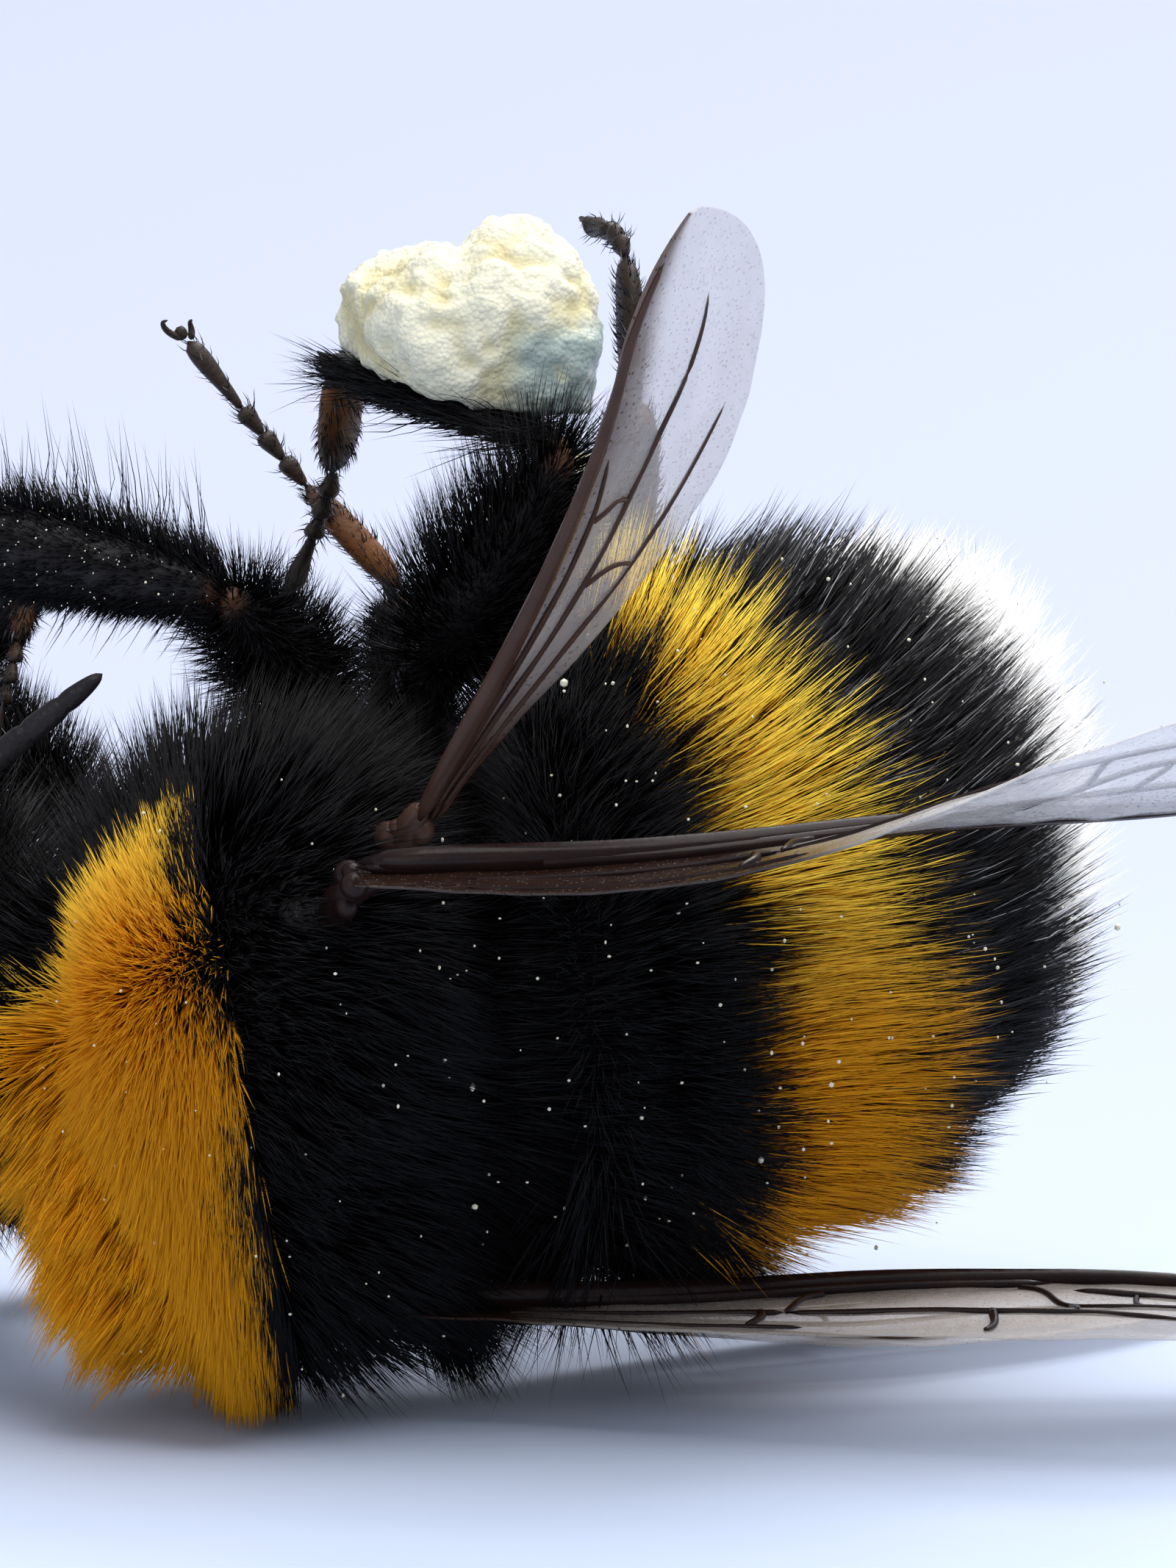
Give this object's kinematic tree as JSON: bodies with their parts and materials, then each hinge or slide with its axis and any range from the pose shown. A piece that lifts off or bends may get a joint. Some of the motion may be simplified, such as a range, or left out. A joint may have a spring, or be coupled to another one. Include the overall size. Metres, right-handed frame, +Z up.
{
  "type": "bumblebee",
  "caption": "Life-size bumblebee worker lying on its side with its wings spread, its legs drawn up and pollen on its hind legs, a still natural-history model.",
  "frame": {"origin": "middle of the bounding box on the floor that the bee lies on", "axes": "+Z up from the floor, +X from the head to the tail, +Y from the back to the legs, so the back faces -Y"},
  "size_m": [0.02, 0.012, 0.0135],
  "materials": {
    "black_coat": "dense soft black hair",
    "yellow_coat": "dense soft golden hair",
    "white_coat": "dense soft white hair",
    "black_shell": "glossy black chitin",
    "eye": "glossy dark faceted eye",
    "wing": "smoky veined membrane",
    "brown_foot": "brown bristly chitin",
    "amber_tongue": "amber chitin",
    "pollen": "crumbly cream pollen"
  },
  "bodies": {
    "root": {"thorax": "black_coat", "collar": "yellow_coat", "abdomen_t1": "black_coat", "abdomen_t2": "yellow_coat", "abdomen_t3": "black_coat", "abdomen_t4": "white_coat", "abdomen_t5": "white_coat", "abdomen_tip": "black_shell", "head": "black_coat", "eye_left": "eye", "eye_right": "eye", "jaw_left": "black_shell", "jaw_right": "black_shell", "tongue": "amber_tongue", "feeler_scape_left": "black_shell", "feeler_scape_right": "black_shell", "feeler_whip_left": "black_shell", "feeler_whip_right": "black_shell", "left_fore_coxa": "black_coat", "left_fore_femur": "black_coat", "left_fore_tibia": "black_coat", "left_fore_foot": "brown_foot", "left_mid_coxa": "black_coat", "left_mid_femur": "black_coat", "left_mid_tibia": "black_coat", "left_mid_foot": "brown_foot", "left_hind_coxa": "black_coat", "left_hind_femur": "black_coat", "left_hind_tibia": "black_coat", "left_hind_foot": "brown_foot", "right_fore_coxa": "black_coat", "right_fore_femur": "black_coat", "right_fore_tibia": "black_coat", "right_fore_foot": "brown_foot", "right_mid_coxa": "black_coat", "right_mid_femur": "black_coat", "right_mid_tibia": "black_coat", "right_mid_foot": "brown_foot", "right_hind_coxa": "black_coat", "right_hind_femur": "black_coat", "right_hind_tibia": "black_coat", "right_hind_foot": "brown_foot", "pollen_left": "pollen", "pollen_right": "pollen", "forewing_left": "wing", "forewing_right": "wing", "hindwing_left": "wing", "hindwing_right": "wing"}
  },
  "joints": []
}
